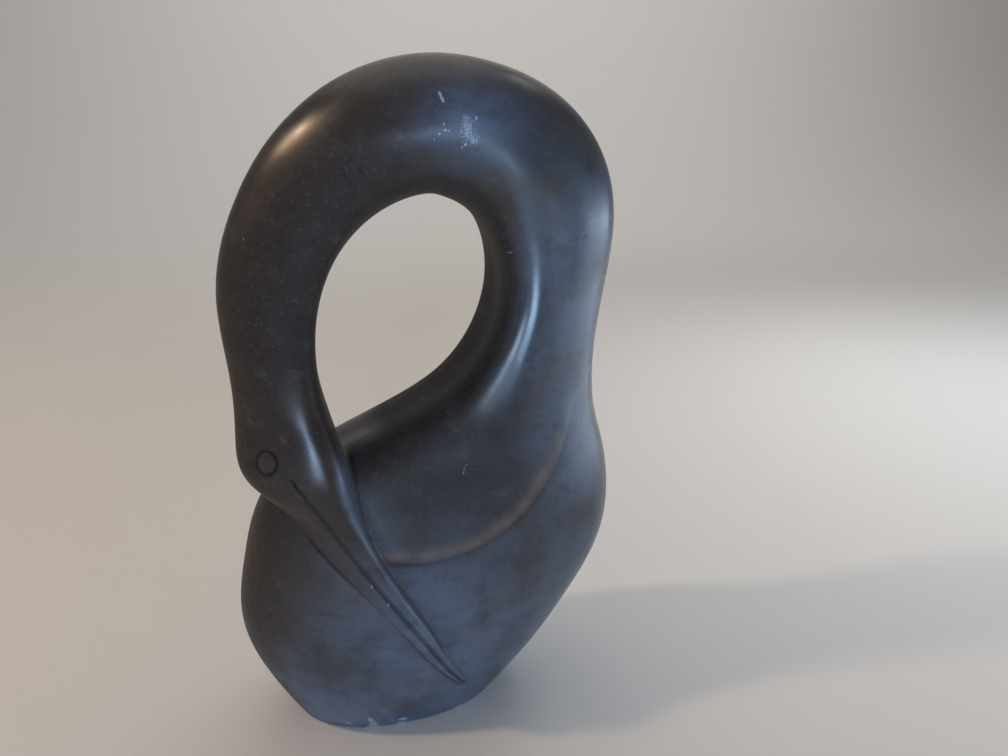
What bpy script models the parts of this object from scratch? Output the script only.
"""Stork sculpture: one block of dark stone, carved as a preening bird.

The whole bird is one swept form.  It starts at the flat foot, swells into the belly,
narrows up the right limb, goes round the open loop of the neck and comes down as the
head and the bill, which lie on the breast.  Each section of that sweep is a leaning oval
between two edges: the inner edge, beside the loop's opening, and the outer edge.
+X is right in the front view, the breast faces -Y and the foot stands on z = 0.
"""

from collections import namedtuple

import bmesh
import bpy
import numpy as np
from mathutils import Vector

MM = 0.001  # the sizes below are in millimetres, and the mesh is in metres
NAME = "stork"

# One carved section: its two edges as (x, y, z), how far the form stands forward and back
# of them, how far its crest leans to the inner edge, how much thicker it is at the outer
# edge than at the inner one, and how square each edge is turned (2 is an ellipse).
Section = namedtuple("Section", "inner outer front back lean swell square_in square_out")
SECTIONS = {
    "foot": Section((-59, 0, 0), (59, 0, 0), 38, 38, 0.0, 0.0, 2.2, 2.2),
    "skirt": Section((-72, 0, 24), (83, 0, 24), 46, 46, 0.04, 0.0, 2.1, 2.1),
    "belly": Section((-85, 0, 62), (110, 0, 62), 51, 53, 0.02, 0.03, 2.1, 2.1),
    "breast": Section((-80, 0, 103), (128, 0, 103), 50.5, 54, 0.08, 0.08, 2.2, 2.3),
    "shoulder": Section((-62, 0, 143), (128, 0, 143), 44.5, 47, 0.2, 0.25, 2.3, 2.1),
    "saddle": Section((-12, 0, 170), (121, 0, 171), 39, 38, 0.36, 0.38, 2.6, 1.9),
    "waist": Section((34, 0, 192), (119, 0, 198), 35, 35, 0.48, 0.2, 2.4, 2.0),
    "limb": Section((60, 0, 229), (123, 0, 236), 33, 34, 0.55, 0.15, 2.2, 1.9),
    "rise": Section((61, 0, 262), (128, 0, 277), 32.5, 34, 0.53, 0.15, 2.0, 2.0),
    "turn": Section((50, 0, 284), (118, 0, 317), 34, 34, 0.42, 0.1, 1.9, 1.9),
    "arch": Section((37, 0, 292), (88, 0, 346), 34.5, 34, 0.16, 0.0, 1.9, 1.9),
    "top": Section((25, 0, 294), (31, 0, 360), 33.5, 33, 0.08, 0.05, 2.0, 1.9),
    "fall": Section((2, 0, 286), (-27, 0, 340), 32.5, 32, 0.24, 0.0, 1.9, 1.75),
    "neck": Section((-19, 0, 267), (-60, 0, 303), 30, 30, 0.48, 0.0, 1.85, 1.75),
    "throat": Section((-32, -4, 235), (-78, -4, 251), 29.5, 27, 0.62, 0.15, 1.8, 1.75),
    "nape": Section((-33, -12, 205), (-76, -12, 211), 29, 26, 0.64, 0.15, 1.8, 1.8),
    "crown": Section((-28, -22, 183), (-76, -20, 184), 28, 25, 0.58, 0.0, 1.8, 1.9),
    "head": Section((-23, -31, 165), (-74, -27, 164), 25.5, 24, 0.52, 0.0, 1.8, 2.0),
    "gape": Section((-20, -38, 148), (-58, -35, 148), 18, 20, 0.4, 0.0, 1.8, 2.2),
    "bill": Section((-15, -44, 128), (-43, -35, 124), 12, 14, 0.35, 0.0, 1.9, 2.5),
    "bill_mid": Section((-2.5, -51.5, 100.5), (-20, -49, 97), 7.5, 8, 0.3, 0.0, 2.0, 2.8),
    "bill_low": Section((11.5, -53.5, 73.5), (1.5, -52.5, 66.5), 5, 6, 0.3, 0.0, 2.2, 3.0),
    "bill_end": Section((23.5, -50, 48), (18, -49, 41.5), 4, 5, 0.3, 0.0, 2.2, 3.0),
    "tip": Section((34.5, -43, 26.5), (31.5, -43.5, 25), 2, 4, 0.0, 0.0, 2.5, 2.5),
}

BODY_STEP = 11  # between rings on the body and the neck
BILL_STEP = 6  # between rings on the head and the bill
FRONT_LINES = 7  # lines of vertices on each side of the mouth line, an edge included
BACK_LINES = 12  # lines of vertices on the back, between the two edges

# The mouth line is cut along the bill.  It swings towards the outer edge over the cheek.
MOUTH_START = 621  # distance along the sweep, at the head
MOUTH_ANGLE = 84  # degrees round from the outer edge
MOUTH_SWING = 22
MOUTH_CHEEK = 520, 600, 700  # where the swing begins, is full and ends
MOUTH_WIDTH = 2.4
MOUTH_DEPTH = 1.4
MOUTH_RUN_IN = 12  # over which it deepens

# The eye is a ring cut into the cheek.
EYE_ALONG = 614.5
EYE_ROUND = 44.5
EYE_RADIUS = 5.8
EYE_GROOVE = 0.9
EYE_SUNK = 0.3
RING_STEPS, RING_SIDES = 28, 8  # facets of the cutter, round the eye and round the groove

# The wing's edge is an arc on the breast: proud above, with a small step down below it.
WING_X, WING_Z = 11, 200
WING_RADIUS = 86
WING_PROUD = 1.2
WING_SOFT = 20  # how far the rise spreads above the edge
WING_STEP = 3.5  # width of the step below it
WING_FROM, WING_TO = -34, 88  # degrees from straight down, to the right
WING_FADE = 30  # degrees over which it dies out
WING_BAND = 5  # the mesh is finer within this of the edge
WING_CUTS = 3  # how many times it is made finer there

STONE_COLOR = (0.055, 0.062, 0.075, 1.0)
STONE_ROUGHNESS = 0.34


def clear_scene():
    for obj in list(bpy.data.objects):
        bpy.data.objects.remove(obj, do_unlink=True)


def natural_spline(knots, values, at):
    """Smooth curve through the values at the knots, with continuous curvature."""
    gaps = np.diff(knots)
    count = len(knots)
    matrix = np.eye(count)
    pull = np.zeros_like(values)
    for i in range(1, count - 1):
        matrix[i, i - 1 : i + 2] = gaps[i - 1], 2 * (gaps[i - 1] + gaps[i]), gaps[i]
        slopes = np.diff(values[i - 1 : i + 2], axis=0) / gaps[i - 1 : i + 1, None]
        pull[i] = 6 * (slopes[1] - slopes[0])
    bend = np.linalg.solve(matrix, pull)
    i = np.clip(np.searchsorted(knots, at) - 1, 0, count - 2)
    gap = gaps[i, None]
    ahead, behind = knots[i + 1, None] - at[:, None], at[:, None] - knots[i, None]
    return (
        (bend[i] * ahead**3 + bend[i + 1] * behind**3) / (6 * gap)
        + (values[i] / gap - bend[i] * gap / 6) * ahead
        + (values[i + 1] / gap - bend[i + 1] * gap / 6) * behind
    )


def flat_rows():
    """The sections as rows of numbers, and each one's distance along the sweep."""
    rows = np.array([[*s.inner, *s.outer, *s[2:]] for s in SECTIONS.values()], float)
    inner_steps = np.linalg.norm(np.diff(rows[:, 0:3], axis=0), axis=1)
    outer_steps = np.linalg.norm(np.diff(rows[:, 3:6], axis=0), axis=1)
    along = np.concatenate([[0], np.cumsum((inner_steps + outer_steps) / 2)])
    return rows, along


def section_points(at, angles):
    """Points of the sections at these distances, at these angles round from the outer edge."""
    rows, along = flat_rows()
    row = natural_spline(along, rows, np.asarray(at, float))
    inner, outer = row[:, None, 0:3], row[:, None, 3:6]
    front, back, lean, swell, square_in, square_out = row.T[6:, :, None]
    across, forward = np.cos(angles), np.sin(angles)
    power = 2 / np.where(across > 0, square_out, square_in)
    across = np.sign(across) * np.abs(across) ** power
    forward = np.sign(forward) * np.abs(forward) ** power
    depth = np.where(forward > 0, front, back) * (1 + swell * across)
    across = across - lean * forward**2
    points = (inner + outer) / 2 + across[:, :, None] * (outer - inner) / 2
    points[:, :, 1] -= depth * forward
    return points


def fade(value, start, end):
    """0 before start and 1 after end, and smooth between them."""
    t = np.clip((value - start) / (end - start), 0, 1)
    return t * t * (3 - 2 * t)


def place_of(name):
    return flat_rows()[1][list(SECTIONS).index(name)]


def ring_places():
    crown, tip = place_of("crown"), place_of("tip")
    body = np.linspace(0, crown, round(crown / BODY_STEP), endpoint=False)
    bill = np.linspace(crown, tip, round((tip - crown) / BILL_STEP) + 1)
    return np.concatenate([body, bill])


def mouth_angles(places):
    """How far round from the outer edge the mouth line lies at these places."""
    begins, full, ends = MOUTH_CHEEK
    return MOUTH_ANGLE - MOUTH_SWING * fade(places, begins, full) * (1 - fade(places, full, ends))


def ring_angles(places):
    """Angles round each ring. Three lines close up where the mouth line is cut."""
    loose = 180 / (2 * FRONT_LINES)
    mouth = mouth_angles(places)
    cheek = section_points(places, np.radians(np.stack([mouth, mouth + 1], axis=1)))
    per_degree = np.linalg.norm(cheek[:, 1] - cheek[:, 0], axis=1)
    tight = np.minimum(MOUTH_WIDTH / 2 / per_degree, loose)
    closed_up = fade(places, MOUTH_START - 3 * MOUTH_RUN_IN, MOUTH_START)
    half = loose + (tight - loose) * closed_up
    before = np.linspace(np.zeros(len(places)), mouth - half, FRONT_LINES, axis=1)
    after = np.linspace(mouth + half, np.full(len(places), 180.0), FRONT_LINES, axis=1)
    behind = np.linspace(180, 360, BACK_LINES + 2)[None, 1:-1].repeat(len(places), axis=0)
    rings = np.concatenate([before, mouth[:, None], after, behind], axis=1)
    return np.radians(rings)


def wing_relief(x, z):
    """How far the breast stands proud at these places, for the edge of the wing."""
    off = np.hypot(x - WING_X, z - WING_Z) - WING_RADIUS
    turn = np.degrees(np.arctan2(x - WING_X, WING_Z - z))
    shape = np.where(off < 0, np.exp(-((off / WING_SOFT) ** 2)), 1 - fade(off, 0, WING_STEP))
    ends = fade(turn, WING_FROM, WING_FROM + WING_FADE / 2) * (
        1 - fade(turn, WING_TO - WING_FADE, WING_TO)
    )
    return WING_PROUD * shape * ends


def loft_bird():
    """The sweep as a closed mesh of rings, with the mouth line sunk into it."""
    places = ring_places()
    points = section_points(places, ring_angles(places))
    points[:, FRONT_LINES, 1] += MOUTH_DEPTH * fade(
        places, MOUTH_START, MOUTH_START + MOUTH_RUN_IN
    )
    bm = bmesh.new()
    breast = bm.verts.layers.int.new("breast")
    rings = [[bm.verts.new(Vector(point) * MM) for point in ring] for ring in points]
    for lower, upper in zip(rings, rings[1:]):
        for i, vert in enumerate(lower):
            before = i - 1
            bm.faces.new((lower[before], vert, upper[i], upper[before]))
    bm.faces.new(rings[0])
    bm.faces.new(rings[-1])
    bmesh.ops.recalc_face_normals(bm, faces=bm.faces)
    trunk = places < place_of("turn")
    for vert in (v for ring, on in zip(rings, trunk) if on for v in ring[: 2 * FRONT_LINES]):
        vert[breast] = 1
    return bm


def carve_wing(bm):
    """Refines the breast along the wing's edge, and raises the edge from it."""
    breast = bm.verts.layers.int["breast"]

    def off_edge(vert):
        return np.hypot(vert.co.x / MM - WING_X, vert.co.z / MM - WING_Z) - WING_RADIUS

    def near_edge(edge):
        off = [off_edge(vert) for vert in edge.verts]
        return min(off) < WING_BAND and max(off) > -WING_BAND

    for _ in range(WING_CUTS):
        chosen = [e for e in bm.edges if all(v[breast] for v in e.verts) and near_edge(e)]
        made = bmesh.ops.subdivide_edges(bm, edges=chosen, cuts=1, use_grid_fill=True)
        for vert in (v for v in made["geom_inner"] if isinstance(v, bmesh.types.BMVert)):
            vert[breast] = 1
    for vert in (v for v in bm.verts if v[breast]):
        vert.co.y -= wing_relief(vert.co.x / MM, vert.co.z / MM) * MM


def stone():
    material = bpy.data.materials.new("polished_stone")
    material.use_nodes = True
    shader = material.node_tree.nodes["Principled BSDF"]
    shader.inputs["Base Color"].default_value = STONE_COLOR
    shader.inputs["Roughness"].default_value = STONE_ROUGHNESS
    shader.inputs["Metallic"].default_value = 0.0
    return material


def collection_named(name):
    collection = bpy.data.collections.new(name)
    bpy.context.scene.collection.children.link(collection)
    return collection


def eye_cutter(collection):
    """A ring that sinks a groove round the eye, square to the cheek."""
    nearby = section_points([EYE_ALONG, EYE_ALONG + 1], np.radians([[EYE_ROUND, EYE_ROUND + 1]]))
    here = Vector(nearby[0, 0])
    out = (Vector(nearby[0, 1]) - here).cross(Vector(nearby[1, 0]) - here).normalized()
    if out.y > 0:
        out.negate()
    bpy.ops.mesh.primitive_torus_add(
        major_radius=EYE_RADIUS * MM,
        minor_radius=EYE_GROOVE * MM,
        major_segments=RING_STEPS,
        minor_segments=RING_SIDES,
        location=(here - out * EYE_SUNK) * MM,
        rotation=out.to_track_quat("Z", "Y").to_euler(),
    )
    ring = bpy.context.object
    ring.name = "eye_ring_cutter"
    ring.hide_render = True
    ring.display_type = "WIRE"
    for linked in list(ring.users_collection):
        linked.objects.unlink(ring)
    collection.objects.link(ring)
    return ring


def build():
    clear_scene()
    parts, cutters = collection_named("Stork sculpture"), collection_named("Cutters")
    bm = loft_bird()
    carve_wing(bm)
    mesh = bpy.data.meshes.new(NAME)
    bm.to_mesh(mesh)
    bm.free()
    mesh.materials.append(stone())
    mesh.shade_smooth()
    bird = bpy.data.objects.new(NAME, mesh)
    parts.objects.link(bird)
    # The bill and the cheek run into the breast: the cut also joins the sweep to itself.
    cut = bird.modifiers.new("Eye ring", "BOOLEAN")
    cut.operation = "DIFFERENCE"
    cut.object = eye_cutter(cutters)
    cut.use_self = True


build()
